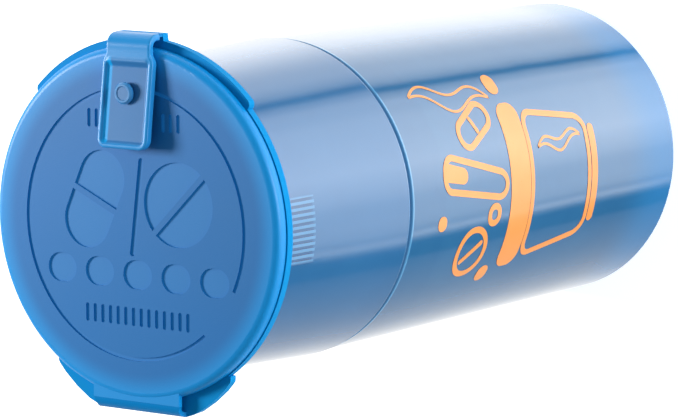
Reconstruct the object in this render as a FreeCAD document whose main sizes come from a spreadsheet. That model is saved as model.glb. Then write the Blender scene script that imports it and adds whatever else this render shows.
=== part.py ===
import FreeCAD, Part

"""A twist crusher on a pop-top vial: a straight vial, a squeeze barrel with a hinged, latched lid on top of
it, and a two-plate crusher held by a coupling ring at the seam between them.

Millimetres. The axis is Z, the vial's foot is on z = 0, the latch is towards -Y, the lid's hinge towards +Y
and the grip ribs face +X and -X. Every size that drives the shape is in the sheet "Sizes".
"""

import math
import os

import Sketcher
from FreeCAD import Placement, Rotation, Vector

DRIVING_SIZES = [
    # vial
    ("vial_radius", 25.0),
    ("vial_foot_radius", 24.75),
    ("vial_height", 80.0),
    ("vial_floor", 1.7),
    ("vial_wall", 1.6),
    ("vial_draft", 0.35),
    ("foot_edge", 1.1),
    ("foot_recess_radius", 20.5),
    ("foot_recess_depth", 0.6),
    ("seat_radius", 23.65),
    ("seat_floor_height", 70.2),
    ("lip_edge", 0.35),
    ("key_width", 1.2),
    ("key_depth", 0.55),
    ("key_length", 3.0),
    ("key_gap", 0.15),
    # coupling ring and seal
    ("plug_length", 9.4),
    ("plug_gap", 0.15),
    ("plug_bore_radius", 21.3),
    ("seam_flange_radius", 24.55),
    ("seam_flange_thickness", 0.45),
    ("collar_height", 9.4),
    ("collar_bore_radius", 22.2),
    ("collar_gap", 0.08),
    ("bead_height", 1.0),
    ("bead_depth", 0.3),
    ("bead_level", 2.6),
    ("seal_section_radius", 0.72),
    ("seal_level", 6.3),
    # crusher plates
    ("plate_thickness", 1.6),
    ("plate_gap", 0.06),
    ("spider_thickness", 2.0),
    ("spider_level", 10.6),
    ("spider_rim_width", 2.0),
    ("spoke_width", 3.4),
    ("hub_radius", 5.0),
    ("pivot_radius", 2.4),
    ("pivot_gap", 0.06),
    ("tooth_half_depth", 1.15),
    ("tooth_half_width", 1.8),
    ("tooth_taper", 5.0),
    ("tooth_height", 7.6),
    ("tooth_ring_pitch", 3.0),
    ("first_tooth_ring", 6.5),
    ("powder_hole_radius", 1.25),
    # barrel
    ("barrel_radius", 25.25),
    ("barrel_bottom", 80.5),
    ("barrel_neck_radius", 23.65),
    ("barrel_bore_radius", 23.7),
    ("barrel_shoulder_radius", 23.2),
    ("barrel_lip_rounding", 0.5),
    ("mouth_radius", 22.45),
    ("flange_bottom", 113.9),
    ("flange_thickness", 1.3),
    ("flange_radius", 26.9),
    ("flange_root_fillet", 0.8),
    ("latch_crescent_radius", 27.9),
    ("latch_crescent_span", 94.0),
    ("latch_crescent_corner", 0.95),
    ("hinge_reach", 28.7),
    ("hinge_width", 16.2),
    ("rib_height", 9.2),
    ("rib_width", 0.45),
    ("rib_proud", 0.38),
    ("rib_span", 23.4),
    # lid
    ("lid_gap", 0.1),
    ("lid_radius", 26.7),
    ("lid_thickness", 1.9),
    ("lid_web", 1.4),
    ("lid_shoulder", 1.15),
    ("plug_ring_radius", 22.2),
    ("plug_ring_wall", 1.2),
    ("plug_ring_depth", 3.8),
    ("engraving_depth", 0.3),
    ("ring_line_radius", 20.7),
    ("ring_line_width", 0.55),
    ("hinge_web_start", 26.9),
    ("hinge_web_thickness", 0.75),
    # latch
    ("latch_width", 9.4),
    ("latch_neck_width", 8.2),
    ("latch_length", 13.2),
    ("latch_root", 24.7),
    ("latch_thickness", 1.2),
    ("latch_lift", 0.12),
    ("latch_tilt", 7.4),
    ("latch_panel_depth", 0.35),
    ("latch_border", 0.95),
    ("latch_corner", 1.4),
    ("latch_web_thickness", 0.5),
    ("latch_web_height", 0.7),
    ("stud_offset", 19.9),
    ("stud_shank_radius", 1.25),
    ("stud_head_radius", 1.65),
    ("stud_head_height", 0.65),
    ("stud_top", 2.6),
    ("stud_spigot_radius", 0.9),
]

GRIP_RIBS = 12
SPOKES = 4
KEYS = 4
LOWER_TEETH = (8, 12, 18)
POWDER_HOLES = (8, 16)
# Half of the hinge ear's outline: width over the web's half width, and distance behind the front.
HINGE_EAR = ((1.0, 0.0), (1.28, 0.95), (1.58, 2.6), (1.86, 4.6), (2.02, 6.1), (2.02, 7.0))
# The emblem on the lid, seen with the latch at the top: x, y, then sizes and angles.
RING_LINE_START = 155.0
RING_LINE_SWEEP = 335.0
CAPSULE_PLACE = (-7.5, 3.3)
CAPSULE_SIZE = (15.6, 8.6)
CAPSULE_ANGLE = 66.0
TABLET_PLACE = (8.3, 3.5)
TABLET_RADIUS = 6.4
TABLET_SCORE_ANGLE = 45.0
SCORE_WIDTH = 0.9
DIVIDER_PLACE = (0.5, 2.6)
DIVIDER_SIZE = (15.0, 0.9)
DIVIDER_ANGLE = 83.0
CELL_PLACE = (15.0, -7.6)
CELL_SIZE = (5.4, 4.4)
CELL_ROW = 28.8
TICK_PLACE = (10.0, -14.0)
TICK_SIZE = (2.8, 0.62)
TICK_ROW = 19.0

doc = FreeCAD.newDocument("pill_crusher")
sheet = doc.addObject("Spreadsheet::Sheet", "Sizes")
for row, (alias, value) in enumerate(DRIVING_SIZES, start=1):
    sheet.set(f"A{row}", alias.replace("_", " "))
    sheet.set(f"B{row}", str(value))
    sheet.setAlias(f"B{row}", alias)
doc.recompute()


class Size:
    """A length or an angle: its value now, and the sheet expression that it follows."""

    def __init__(self, value, text):
        self.value = value
        self.text = text

    def __add__(self, other):
        other = as_size(other)
        return Size(self.value + other.value, f"({self.text} + {other.text})")

    def __sub__(self, other):
        other = as_size(other)
        return Size(self.value - other.value, f"({self.text} - {other.text})")

    def __mul__(self, other):
        other = as_size(other)
        return Size(self.value * other.value, f"({self.text} * {other.text})")

    def __truediv__(self, other):
        other = as_size(other)
        return Size(self.value / other.value, f"({self.text} / {other.text})")

    def __neg__(self):
        return self * -1


def as_size(number):
    """A Size from a Size or a plain number."""
    return number if isinstance(number, Size) else Size(float(number), f"({float(number)!r})")


def size(alias):
    """The sheet's cell of that alias."""
    return Size(float(sheet.get(alias)), f"Sizes.{alias}")


def sine(angle):
    return Size(math.sin(math.radians(angle.value)), f"sin({angle.text} * 1deg)")


def cosine(angle):
    return Size(math.cos(math.radians(angle.value)), f"cos({angle.text} * 1deg)")


def bind(feature, **properties):
    """Ties properties of a feature to the sheet."""
    for name, wanted in properties.items():
        feature.setExpression(name, as_size(wanted).text)


# ---------------------------------------------------------------- sketches and features


def new_body(label):
    body = doc.addObject("PartDesign::Body", label)
    body.Label = label
    return body


def origin_feature(body, role):
    """One of the body's own base planes or axes, such as XY_Plane or Z_Axis."""
    return next(f for f in body.Origin.OriginFeatures if f.Role == role)


def new_sketch(body, name, plane="XZ_Plane", level=0, turn=0):
    """A sketch on a base plane of the body, lifted by level along the plane's normal. turn spins it in its
    own plane on XY_Plane and swings it about Z on XZ_Plane."""
    sketch = body.newObject("Sketcher::SketchObject", name)
    sketch.AttachmentSupport = [(origin_feature(body, plane), "")]
    sketch.MapMode = "FlatFace"
    spin_axis = Vector(0, 1, 0) if plane == "XZ_Plane" else Vector(0, 0, 1)
    sketch.AttachmentOffset = Placement(Vector(0, 0, 0), Rotation(spin_axis, turn))
    sketch.setExpression(".AttachmentOffset.Base.z", as_size(level).text)
    return sketch


def pin_point(sketch, curve, end, x, y):
    """Holds a curve's point at x, y from the sketch's origin. end is 1, 2 or 3: start, end or centre."""
    for kind, wanted in (("DistanceX", as_size(x)), ("DistanceY", as_size(y))):
        index = sketch.addConstraint(Sketcher.Constraint(kind, -1, 1, curve, end, wanted.value))
        sketch.setExpression(f"Constraints[{index}]", wanted.text)


def set_radius(sketch, curve, radius):
    index = sketch.addConstraint(Sketcher.Constraint("Radius", curve, radius.value))
    sketch.setExpression(f"Constraints[{index}]", radius.text)


def outline(sketch, points):
    """A closed outline of straight sides through the points."""
    points = [(as_size(x), as_size(y)) for x, y in points]
    first = sketch.GeometryCount
    for (x, y), (next_x, next_y) in zip(points, points[1:] + points[:1]):
        start = Vector(x.value, y.value, 0)
        end = Vector(next_x.value, next_y.value, 0)
        sketch.addGeometry(Part.LineSegment(start, end), False)
    for number, (x, y) in enumerate(points):
        following = first + (number + 1) % len(points)
        sketch.addConstraint(Sketcher.Constraint("Coincident", first + number, 2, following, 1))
        pin_point(sketch, first + number, 1, x, y)


def circle(sketch, x, y, radius):
    x, y, radius = as_size(x), as_size(y), as_size(radius)
    centre = Vector(x.value, y.value, 0)
    curve = sketch.addGeometry(Part.Circle(centre, Vector(0, 0, 1), radius.value), False)
    pin_point(sketch, curve, 3, x, y)
    set_radius(sketch, curve, radius)


def slot(sketch, x, y, length, width, angle=0.0):
    """A round-ended slot with its middle at x, y, along angle in degrees."""
    x, y, length, width = as_size(x), as_size(y), as_size(length), as_size(width)
    radius = width / 2
    half = (length - width) / 2
    along = Vector(math.cos(math.radians(angle)), math.sin(math.radians(angle)), 0)
    across = Vector(-along.y, along.x, 0) * radius.value
    middle = Vector(x.value, y.value, 0)
    first = sketch.GeometryCount
    for side in (1, -1):
        centre = middle + along * (half.value * side)
        turn = math.radians(angle - 90 * side)
        end = Part.Circle(centre, Vector(0, 0, 1), radius.value)
        sketch.addGeometry(Part.ArcOfCircle(end, turn, turn + math.pi), False)
        start = centre + across * side
        sketch.addGeometry(Part.LineSegment(start, start - along * (2 * half.value * side)), False)
    for curve, following in ((0, 1), (1, 2), (2, 3), (3, 0)):
        constraint = Sketcher.Constraint("Tangent", first + curve, 2, first + following, 1)
        sketch.addConstraint(constraint)
    sketch.addConstraint(Sketcher.Constraint("Equal", first, first + 2))
    set_radius(sketch, first, radius)
    for curve, side in ((first, 1), (first + 2, -1)):
        pin_point(sketch, curve, 3, x + half * (along.x * side), y + half * (along.y * side))


def volume_of(body):
    return body.Shape.Volume if not body.Shape.isNull() else 0.0


def add_feature(body, kind, name, profile, grows, **settings):
    """A PartDesign feature on a profile. grows says whether it must add material or take some away."""
    before = volume_of(body)
    feature = body.newObject(f"PartDesign::{kind}", name)
    feature.Profile = profile
    for setting, value in settings.items():
        if isinstance(value, Size):
            bind(feature, **{setting: value})
        else:
            setattr(feature, setting, value)
    doc.recompute()
    change = volume_of(body) - before
    if (change > 0) != grows or change == 0:
        raise ValueError(f"{body.Label}: {name} changed the volume by {change:.3f} mm3")
    return feature


def turned(body, name, points, angle=360, cut=False, turn=0):
    """Straight-sided outline in the radius-height plane, turned about Z."""
    sketch = new_sketch(body, name + "_profile", turn=turn)
    outline(sketch, points)
    kind = "Groove" if cut else "Revolution"
    axis = (sketch, ["V_Axis"])
    return add_feature(body, kind, name, sketch, not cut, ReferenceAxis=axis, Angle=angle)


def around(body, feature, count, angle=360):
    """Repeats a feature about Z. An angle under 360 is the angle from the first to the last."""
    before = volume_of(body)
    pattern = body.newObject("PartDesign::PolarPattern", feature.Name + "_ring")
    pattern.Originals = [feature]
    pattern.Axis = (origin_feature(body, "Z_Axis"), [""])
    if isinstance(angle, Size):
        bind(pattern, Angle=angle)
    else:
        pattern.Angle = angle
    pattern.Occurrences = count
    body.Tip = pattern
    doc.recompute()
    if volume_of(body) == before:
        raise ValueError(f"{body.Label}: {pattern.Name} changed nothing")
    return pattern


def in_a_row(body, feature, count, length):
    """Repeats a feature along X, from the first to the last over length."""
    pattern = body.newObject("PartDesign::LinearPattern", feature.Name + "_row")
    pattern.Originals = [feature]
    pattern.Direction = (origin_feature(body, "X_Axis"), [""])
    pattern.Length = length
    pattern.Occurrences = count
    body.Tip = pattern
    doc.recompute()
    return pattern


def soften(body, name, radius, wanted, kind="Fillet"):
    """Fillets or chamfers the edges of the body's tip for which wanted(edge) is true."""
    tip = body.Tip
    names = [f"Edge{n}" for n, edge in enumerate(tip.Shape.Edges, start=1) if wanted(edge)]
    if not names:
        raise ValueError(f"{body.Label}: {name} found no edge")
    feature = body.newObject(f"PartDesign::{kind}", name)
    feature.Base = (tip, names)
    bind(feature, **{"Radius" if kind == "Fillet" else "Size": radius})
    doc.recompute()
    return feature


def is_hoop(edge, radius, height, slack=0.02):
    """Is the edge a circle about Z of that radius at that height?"""
    curve = edge.Curve
    if not isinstance(curve, Part.Circle):
        return False
    on_axis = math.hypot(curve.Center.x, curve.Center.y) < slack
    same_size = abs(curve.Radius - as_size(radius).value) < slack
    return on_axis and same_size and abs(curve.Center.z - as_size(height).value) < slack


def is_upright(edge):
    """Is the edge straight and parallel to Z?"""
    if not isinstance(edge.Curve, (Part.Line, Part.LineSegment)):
        return False
    first, last = edge.Vertexes[0].Point, edge.Vertexes[-1].Point
    return math.hypot(first.x - last.x, first.y - last.y) < 1e-4


# ---------------------------------------------------------------- levels shared by several pieces

seam_top = size("vial_height") + size("seam_flange_thickness")
plug_bottom = size("vial_height") - size("plug_length")
plate_bottom = size("vial_height") + 0.6
plate_top = plate_bottom + size("plate_thickness")
collar_top = seam_top + size("collar_height")
spider_bottom = size("vial_height") + size("spider_level")
spider_top = spider_bottom + size("spider_thickness")
plug_radius = size("seat_radius") - size("plug_gap")
collar_radius = size("barrel_bore_radius") - size("collar_gap")
flange_top = size("flange_bottom") + size("flange_thickness")
lid_bottom = flange_top + size("lid_gap")
lid_top = lid_bottom + size("lid_thickness")
half_hinge = size("hinge_width") / 2
key_half = size("key_width") / 2
bead_bottom = seam_top + size("bead_level")
lower_rings = [size("first_tooth_ring") + size("tooth_ring_pitch") * (2 * n) for n in range(3)]
upper_rings = [size("first_tooth_ring") + size("tooth_ring_pitch") * (2 * n + 1) for n in range(2)]


# ---------------------------------------------------------------- vial


def make_vial():
    body = new_body("vial")
    inner_foot = size("vial_foot_radius") - size("vial_wall")
    inner_top = inner_foot + size("vial_draft")
    lip = size("lip_edge")
    turned(body, "shell", [
        (0, size("foot_recess_depth")),
        (size("foot_recess_radius") - 0.5, size("foot_recess_depth")),
        (size("foot_recess_radius"), 0),
        (size("vial_foot_radius"), 0),
        (size("vial_radius"), size("vial_height") - lip),
        (size("vial_radius") - lip, size("vial_height")),
        (size("seat_radius") + lip, size("vial_height")),
        (size("seat_radius"), size("vial_height") - lip),
        (size("seat_radius"), size("seat_floor_height")),
        (inner_top, size("seat_floor_height") - 0.3),
        (inner_foot, size("vial_floor")),
        (0, size("vial_floor")),
    ])
    soften(body, "foot_rounding", size("foot_edge"), lambda e: is_hoop(e, size("vial_foot_radius"), 0))
    soften(body, "inside_rounding", size("foot_edge"), lambda e: is_hoop(e, inner_foot, size("vial_floor")))
    sketch = new_sketch(body, "key_section", "XY_Plane", size("seat_floor_height") - 0.1)
    wall_x = size("seat_radius") + 0.4
    key_x = size("seat_radius") - size("key_depth")
    outline(sketch, [(key_x, -key_half), (wall_x, -key_half), (wall_x, key_half), (key_x, key_half)])
    key = add_feature(body, "Pad", "key", sketch, True, Length=size("key_length"))
    around(body, key, KEYS)
    return body


# ---------------------------------------------------------------- coupling ring, seal and crusher plates


def make_coupling_ring():
    body = new_body("coupling_ring")
    groove_floor = plug_radius - size("seal_section_radius") * 2 + 0.1
    groove_bottom = plug_bottom + size("seal_level") - size("seal_section_radius") - 0.08
    groove_top = plug_bottom + size("seal_level") + size("seal_section_radius") + 0.08
    bead_floor = collar_radius - size("bead_depth") - 0.1
    turned(body, "ring", [
        (size("plug_bore_radius"), plug_bottom),
        (plug_radius - 0.5, plug_bottom),
        (plug_radius, plug_bottom + 0.8),
        (plug_radius, groove_bottom),
        (groove_floor, groove_bottom),
        (groove_floor, groove_top),
        (plug_radius, groove_top),
        (plug_radius, size("vial_height")),
        (size("seam_flange_radius"), size("vial_height")),
        (size("seam_flange_radius"), seam_top),
        (collar_radius, seam_top),
        (collar_radius, bead_bottom - 0.15),
        (bead_floor, bead_bottom - 0.15),
        (bead_floor, bead_bottom + size("bead_height") + 0.15),
        (collar_radius, bead_bottom + size("bead_height") + 0.15),
        (collar_radius, collar_top - 0.5),
        (collar_radius - 0.4, collar_top),
        (size("collar_bore_radius"), collar_top),
        (size("collar_bore_radius"), plate_bottom),
        (size("plug_bore_radius"), plate_bottom),
    ])
    sketch = new_sketch(body, "key_slot_section", "XY_Plane", plug_bottom - 0.5)
    inside = size("seat_radius") - size("key_depth") - size("key_gap")
    outside = plug_radius + 0.5
    half = key_half + size("key_gap")
    outline(sketch, [(inside, -half), (outside, -half), (outside, half), (inside, half)])
    slot_length = size("key_length") + 0.5
    cut = add_feature(body, "Pocket", "key_slot", sketch, False, Length=slot_length, Reversed=True)
    around(body, cut, KEYS)
    return body


def make_seal_ring():
    seal = doc.addObject("Part::Torus", "seal_ring")
    seal.Label = "seal_ring"
    centre = size("seat_radius") - size("seal_section_radius") - 0.03
    bind(seal, Radius1=centre, Radius2=size("seal_section_radius"))
    seal.setExpression(".Placement.Base.z", (plug_bottom + size("seal_level")).text)
    return seal


def add_tooth(body, name, radius, level, height, downwards):
    """One tapered, diamond-shaped crushing tooth on the X axis."""
    sketch = new_sketch(body, name + "_section", "XY_Plane", level)
    deep, wide = size("tooth_half_depth"), size("tooth_half_width")
    outline(sketch, [(radius - deep, 0), (radius, -wide), (radius + deep, 0), (radius, wide)])
    taper = -size("tooth_taper")
    return add_feature(
        body, "Pad", name, sketch, True, Length=height, TaperAngle=taper, Reversed=downwards
    )


def make_lower_tooth_plate():
    body = new_body("lower_tooth_plate")
    edge = size("collar_bore_radius") - size("plate_gap")
    pivot_top = spider_top + 0.4
    turned(body, "plate", [
        (0, plate_bottom),
        (edge - 0.3, plate_bottom),
        (edge, plate_bottom + 0.3),
        (edge, plate_top),
        (size("pivot_radius") + 1.0, plate_top),
        (size("pivot_radius") + 1.0, spider_bottom - 0.1),
        (size("pivot_radius"), spider_bottom - 0.1),
        (size("pivot_radius"), pivot_top - 0.4),
        (size("pivot_radius") - 0.4, pivot_top),
        (0, pivot_top),
    ])
    for number, (radius, count) in enumerate(zip(lower_rings, LOWER_TEETH), start=1):
        level = plate_top - 0.2
        tooth = add_tooth(body, f"tooth_{number}", radius, level, size("tooth_height") + 0.2, False)
        around(body, tooth, count)
    for number, (radius, count) in enumerate(zip(upper_rings, POWDER_HOLES), start=1):
        sketch = new_sketch(body, f"powder_hole_{number}_section", "XY_Plane", plate_top)
        circle(sketch, radius, 0, size("powder_hole_radius"))
        depth = size("plate_thickness") + 0.5
        hole = add_feature(body, "Pocket", f"powder_hole_{number}", sketch, False, Length=depth)
        around(body, hole, count)
    return body


def make_upper_tooth_plate():
    body = new_body("upper_tooth_plate")
    rim_out = size("barrel_bore_radius") - size("plate_gap")
    rim_in = rim_out - size("spider_rim_width")
    turned(body, "rim", [
        (rim_in, spider_bottom), (rim_out, spider_bottom), (rim_out, spider_top), (rim_in, spider_top),
    ])
    sketch = new_sketch(body, "spoke_section", "XY_Plane", spider_bottom)
    half = size("spoke_width") / 2
    outline(sketch, [(1, -half), (rim_in + 0.5, -half), (rim_in + 0.5, half), (1, half)])
    spoke = add_feature(body, "Pad", "spoke", sketch, True, Length=size("spider_thickness"))
    around(body, spoke, SPOKES)
    turned(body, "hub", [
        (0.5, spider_bottom), (size("hub_radius"), spider_bottom), (size("hub_radius"), spider_top),
        (0.5, spider_top),
    ])
    for number, radius in enumerate(upper_rings, start=1):
        level = spider_bottom + 0.2
        tooth = add_tooth(body, f"tooth_{number}", radius, level, size("tooth_height") + 0.2, True)
        around(body, tooth, SPOKES)
    bore = size("pivot_radius") + size("pivot_gap")
    turned(body, "pivot_bore", [
        (0, spider_bottom - 1), (bore, spider_bottom - 1), (bore, spider_top + 1), (0, spider_top + 1),
    ], cut=True)
    return body


# ---------------------------------------------------------------- barrel


def barrel_wall(height):
    """The barrel's outer radius at a height."""
    slope = (size("barrel_radius") - size("barrel_neck_radius")) / (
        size("flange_bottom") - size("barrel_bottom")
    )
    return size("barrel_neck_radius") + slope * (size("flange_bottom") - height)


def add_grip_ribs(body, name, middle_angle):
    """A fan of fine upright ribs under the flange, centred on an angle about Z."""
    first_angle = middle_angle - size("rib_span").value / 2
    sketch = new_sketch(body, name + "_profile", turn=first_angle)
    bottom = size("flange_bottom") - size("rib_height")
    outline(sketch, [
        (barrel_wall(bottom) - 0.4, bottom),
        (barrel_wall(bottom) + size("rib_proud"), bottom),
        (barrel_wall(size("flange_bottom")) + size("rib_proud"), size("flange_bottom") + 0.2),
        (barrel_wall(size("flange_bottom")) - 0.4, size("flange_bottom") + 0.2),
    ])
    rib = add_feature(body, "Pad", name, sketch, True, Length=size("rib_width"), Midplane=True)
    around(body, rib, GRIP_RIBS, size("rib_span"))


def add_latch_crescent(body):
    """The wider part of the flange on the latch side, with the lug that the latch grows from."""
    crescent = body.newObject("PartDesign::AdditiveCylinder", "latch_crescent")
    bind(
        crescent,
        Radius=size("latch_crescent_radius"),
        Height=size("flange_thickness"),
        Angle=size("latch_crescent_span"),
    )
    start = -90 - size("latch_crescent_span").value / 2
    crescent.Placement = Placement(Vector(0, 0, 0), Rotation(Vector(0, 0, 1), start))
    crescent.setExpression(".Placement.Base.z", size("flange_bottom").text)
    doc.recompute()
    sketch = new_sketch(body, "latch_lug_section", "XY_Plane", size("flange_bottom"))
    half = size("latch_neck_width") / 2
    reach = -size("hinge_reach")
    outline(sketch, [(-half - 1.2, -20), (half + 1.2, -20), (half, reach), (-half, reach)])
    add_feature(body, "Pad", "latch_lug", sketch, True, Length=size("flange_thickness"))


def add_hinge_ear(body):
    """The wider part of the flange on the hinge side: flat in front, curved back to the flange."""
    sketch = new_sketch(body, "hinge_ear_section", "XY_Plane", size("flange_bottom"))
    right = [(half_hinge * wide, size("hinge_reach") - back) for wide, back in HINGE_EAR]
    left = [(-x, y) for x, y in reversed(right)]
    outline(sketch, left + right)
    add_feature(body, "Pad", "hinge_ear", sketch, True, Length=size("flange_thickness"))


def make_barrel():
    body = new_body("barrel")
    turned(body, "outside", [
        (0, size("barrel_bottom")),
        (size("barrel_radius") - 0.05, size("barrel_bottom")),
        (size("barrel_neck_radius"), size("flange_bottom")),
        (size("flange_radius"), size("flange_bottom")),
        (size("flange_radius"), flange_top),
        (0, flange_top),
    ])
    soften(
        body, "lip_rounding", size("barrel_lip_rounding"),
        lambda e: is_hoop(e, size("barrel_radius") - 0.05, size("barrel_bottom")),
    )
    soften(
        body, "flange_root", size("flange_root_fillet"),
        lambda e: is_hoop(e, size("barrel_neck_radius"), size("flange_bottom")),
    )
    add_latch_crescent(body)
    add_hinge_ear(body)
    soften(
        body, "crescent_corners", size("latch_crescent_corner"),
        lambda e: is_upright(e)
        and abs(math.hypot(e.CenterOfMass.x, e.CenterOfMass.y) - size("latch_crescent_radius").value) < 0.02
        and abs(e.CenterOfMass.x) > 10,
    )
    add_grip_ribs(body, "rib_left", 180)
    add_grip_ribs(body, "rib_right", 0)
    bead_radius = collar_radius - size("bead_depth") + size("collar_gap")
    turned(body, "bore", [
        (0, size("barrel_bottom") - 1),
        (size("barrel_bore_radius"), size("barrel_bottom") - 1),
        (size("barrel_bore_radius"), bead_bottom),
        (bead_radius, bead_bottom + size("bead_height") * 0.35),
        (bead_radius, bead_bottom + size("bead_height") * 0.65),
        (size("barrel_bore_radius"), bead_bottom + size("bead_height")),
        (size("barrel_bore_radius"), spider_top),
        (size("barrel_shoulder_radius"), spider_top),
        (size("mouth_radius"), flange_top - 0.6),
        (size("mouth_radius") + 0.4, flange_top + 0.01),
        (size("mouth_radius") + 0.4, flange_top + 1),
        (0, flange_top + 1),
    ], cut=True)
    return body


# ---------------------------------------------------------------- lid


def lid_sketch(body, name):
    """A sketch on the lid's face whose own Y points at the latch."""
    return new_sketch(body, name, "XY_Plane", lid_top, turn=180)


def engrave(body, name, sketch):
    return add_feature(body, "Pocket", name, sketch, False, Length=size("engraving_depth"))


def add_emblem(body):
    """A plain pharmacy emblem: a capsule and a scored tablet over a row of small tablets, with tick rows."""
    line = size("ring_line_width")
    groove_floor = lid_top - size("engraving_depth")
    turned(body, "ring_line", [
        (size("ring_line_radius") - line, groove_floor),
        (size("ring_line_radius"), groove_floor),
        (size("ring_line_radius"), lid_top + 1),
        (size("ring_line_radius") - line, lid_top + 1),
    ], angle=RING_LINE_SWEEP, cut=True, turn=RING_LINE_START)
    panels = lid_sketch(body, "panels_section")
    slot(panels, *CAPSULE_PLACE, *CAPSULE_SIZE, CAPSULE_ANGLE)
    circle(panels, *TABLET_PLACE, TABLET_RADIUS)
    slot(panels, *DIVIDER_PLACE, *DIVIDER_SIZE, DIVIDER_ANGLE)
    engrave(body, "panels", panels)
    score = lid_sketch(body, "score_section")
    slot(score, *CAPSULE_PLACE, CAPSULE_SIZE[1] + 0.4, SCORE_WIDTH, CAPSULE_ANGLE + 90)
    slot(score, *TABLET_PLACE, TABLET_RADIUS * 2 + 0.5, SCORE_WIDTH, TABLET_SCORE_ANGLE)
    add_feature(body, "Pad", "score", score, True, Length=size("engraving_depth"), Reversed=True)
    cell = lid_sketch(body, "cell_section")
    slot(cell, *CELL_PLACE, *CELL_SIZE)
    in_a_row(body, engrave(body, "cell", cell), 5, CELL_ROW)
    tick = lid_sketch(body, "tick_section")
    slot(tick, *TICK_PLACE, *TICK_SIZE, 90.0)
    in_a_row(body, engrave(body, "tick", tick), 14, TICK_ROW)
    for side, first in (("left", -5.6), ("right", 8.4)):
        top_tick = lid_sketch(body, f"top_tick_{side}_section")
        slot(top_tick, first, 15.6, *TICK_SIZE, 90.0)
        in_a_row(body, engrave(body, f"top_tick_{side}", top_tick), 3, 2.8)


def make_lid():
    body = new_body("lid")
    web_bottom = lid_top - size("lid_web")
    ring_in = size("plug_ring_radius") - size("plug_ring_wall")
    ring_bottom = web_bottom - size("plug_ring_depth")
    turned(body, "plate", [
        (0, web_bottom),
        (ring_in, web_bottom),
        (ring_in + 0.15, ring_bottom),
        (size("plug_ring_radius") - 0.5, ring_bottom),
        (size("plug_ring_radius"), ring_bottom + 0.8),
        (size("plug_ring_radius"), lid_bottom),
        (size("lid_radius"), lid_bottom),
        (size("lid_radius"), lid_top),
        (0, lid_top),
    ])
    soften(body, "shoulder", size("lid_shoulder"), lambda e: is_hoop(e, size("lid_radius"), lid_top))
    sketch = new_sketch(body, "hinge_lug_section", "XY_Plane", lid_top - 0.15)
    end = size("hinge_web_start")
    outline(sketch, [(-half_hinge, 20), (half_hinge, 20), (half_hinge, end), (-half_hinge, end)])
    add_feature(body, "Pad", "hinge_lug", sketch, True, Length=size("hinge_web_thickness"), Reversed=True)
    sketch = lid_sketch(body, "stud_hole_section")
    circle(sketch, 0, size("stud_offset"), size("stud_spigot_radius"))
    add_feature(body, "Pocket", "stud_hole", sketch, False, Length=size("lid_thickness") + 1)
    add_emblem(body)
    return body


def make_lid_hinge_web():
    """The living hinge of the lid: a quarter-round band from the lid's lug over to the flange."""
    thickness = size("hinge_web_thickness")
    outer_radius = size("hinge_reach") - size("hinge_web_start")
    bend = {}
    for name, radius in (("outside", outer_radius), ("inside", outer_radius - thickness)):
        quarter = doc.addObject("Part::Cylinder", f"lid_hinge_{name}")
        bind(quarter, Radius=radius, Height=size("hinge_width"))
        quarter.Angle = 90
        along_x = Rotation(Vector(1, 0, 0), 90) * Rotation(Vector(0, 1, 0), 90)
        quarter.Placement = Placement(Vector(0, 0, 0), along_x)
        quarter.setExpression(".Placement.Base.x", (-half_hinge).text)
        quarter.setExpression(".Placement.Base.y", size("hinge_web_start").text)
        quarter.setExpression(".Placement.Base.z", flange_top.text)
        bend[name] = quarter
    web = doc.addObject("Part::Cut", "lid_hinge_web")
    web.Label = "lid_hinge_web"
    web.Base = bend["outside"]
    web.Tool = bend["inside"]
    return web


# ---------------------------------------------------------------- latch


def make_latch_stud():
    body = new_body("latch_stud")
    head_top = lid_top + size("stud_top")
    head_bottom = head_top - size("stud_head_height")
    dish = size("stud_head_radius") - 0.55
    turned(body, "stud", [
        (0, lid_top - size("lid_web")),
        (size("stud_spigot_radius") - 0.02, lid_top - size("lid_web")),
        (size("stud_spigot_radius") - 0.02, lid_top),
        (size("stud_shank_radius"), lid_top),
        (size("stud_shank_radius"), head_bottom),
        (size("stud_head_radius"), head_bottom),
        (size("stud_head_radius"), head_top - 0.3),
        (size("stud_head_radius") - 0.3, head_top),
        (dish, head_top),
        (dish - 0.12, head_top - 0.12),
        (0, head_top - 0.12),
    ])
    body.setExpression(".Placement.Base.y", (-size("stud_offset")).text)
    return body


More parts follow.
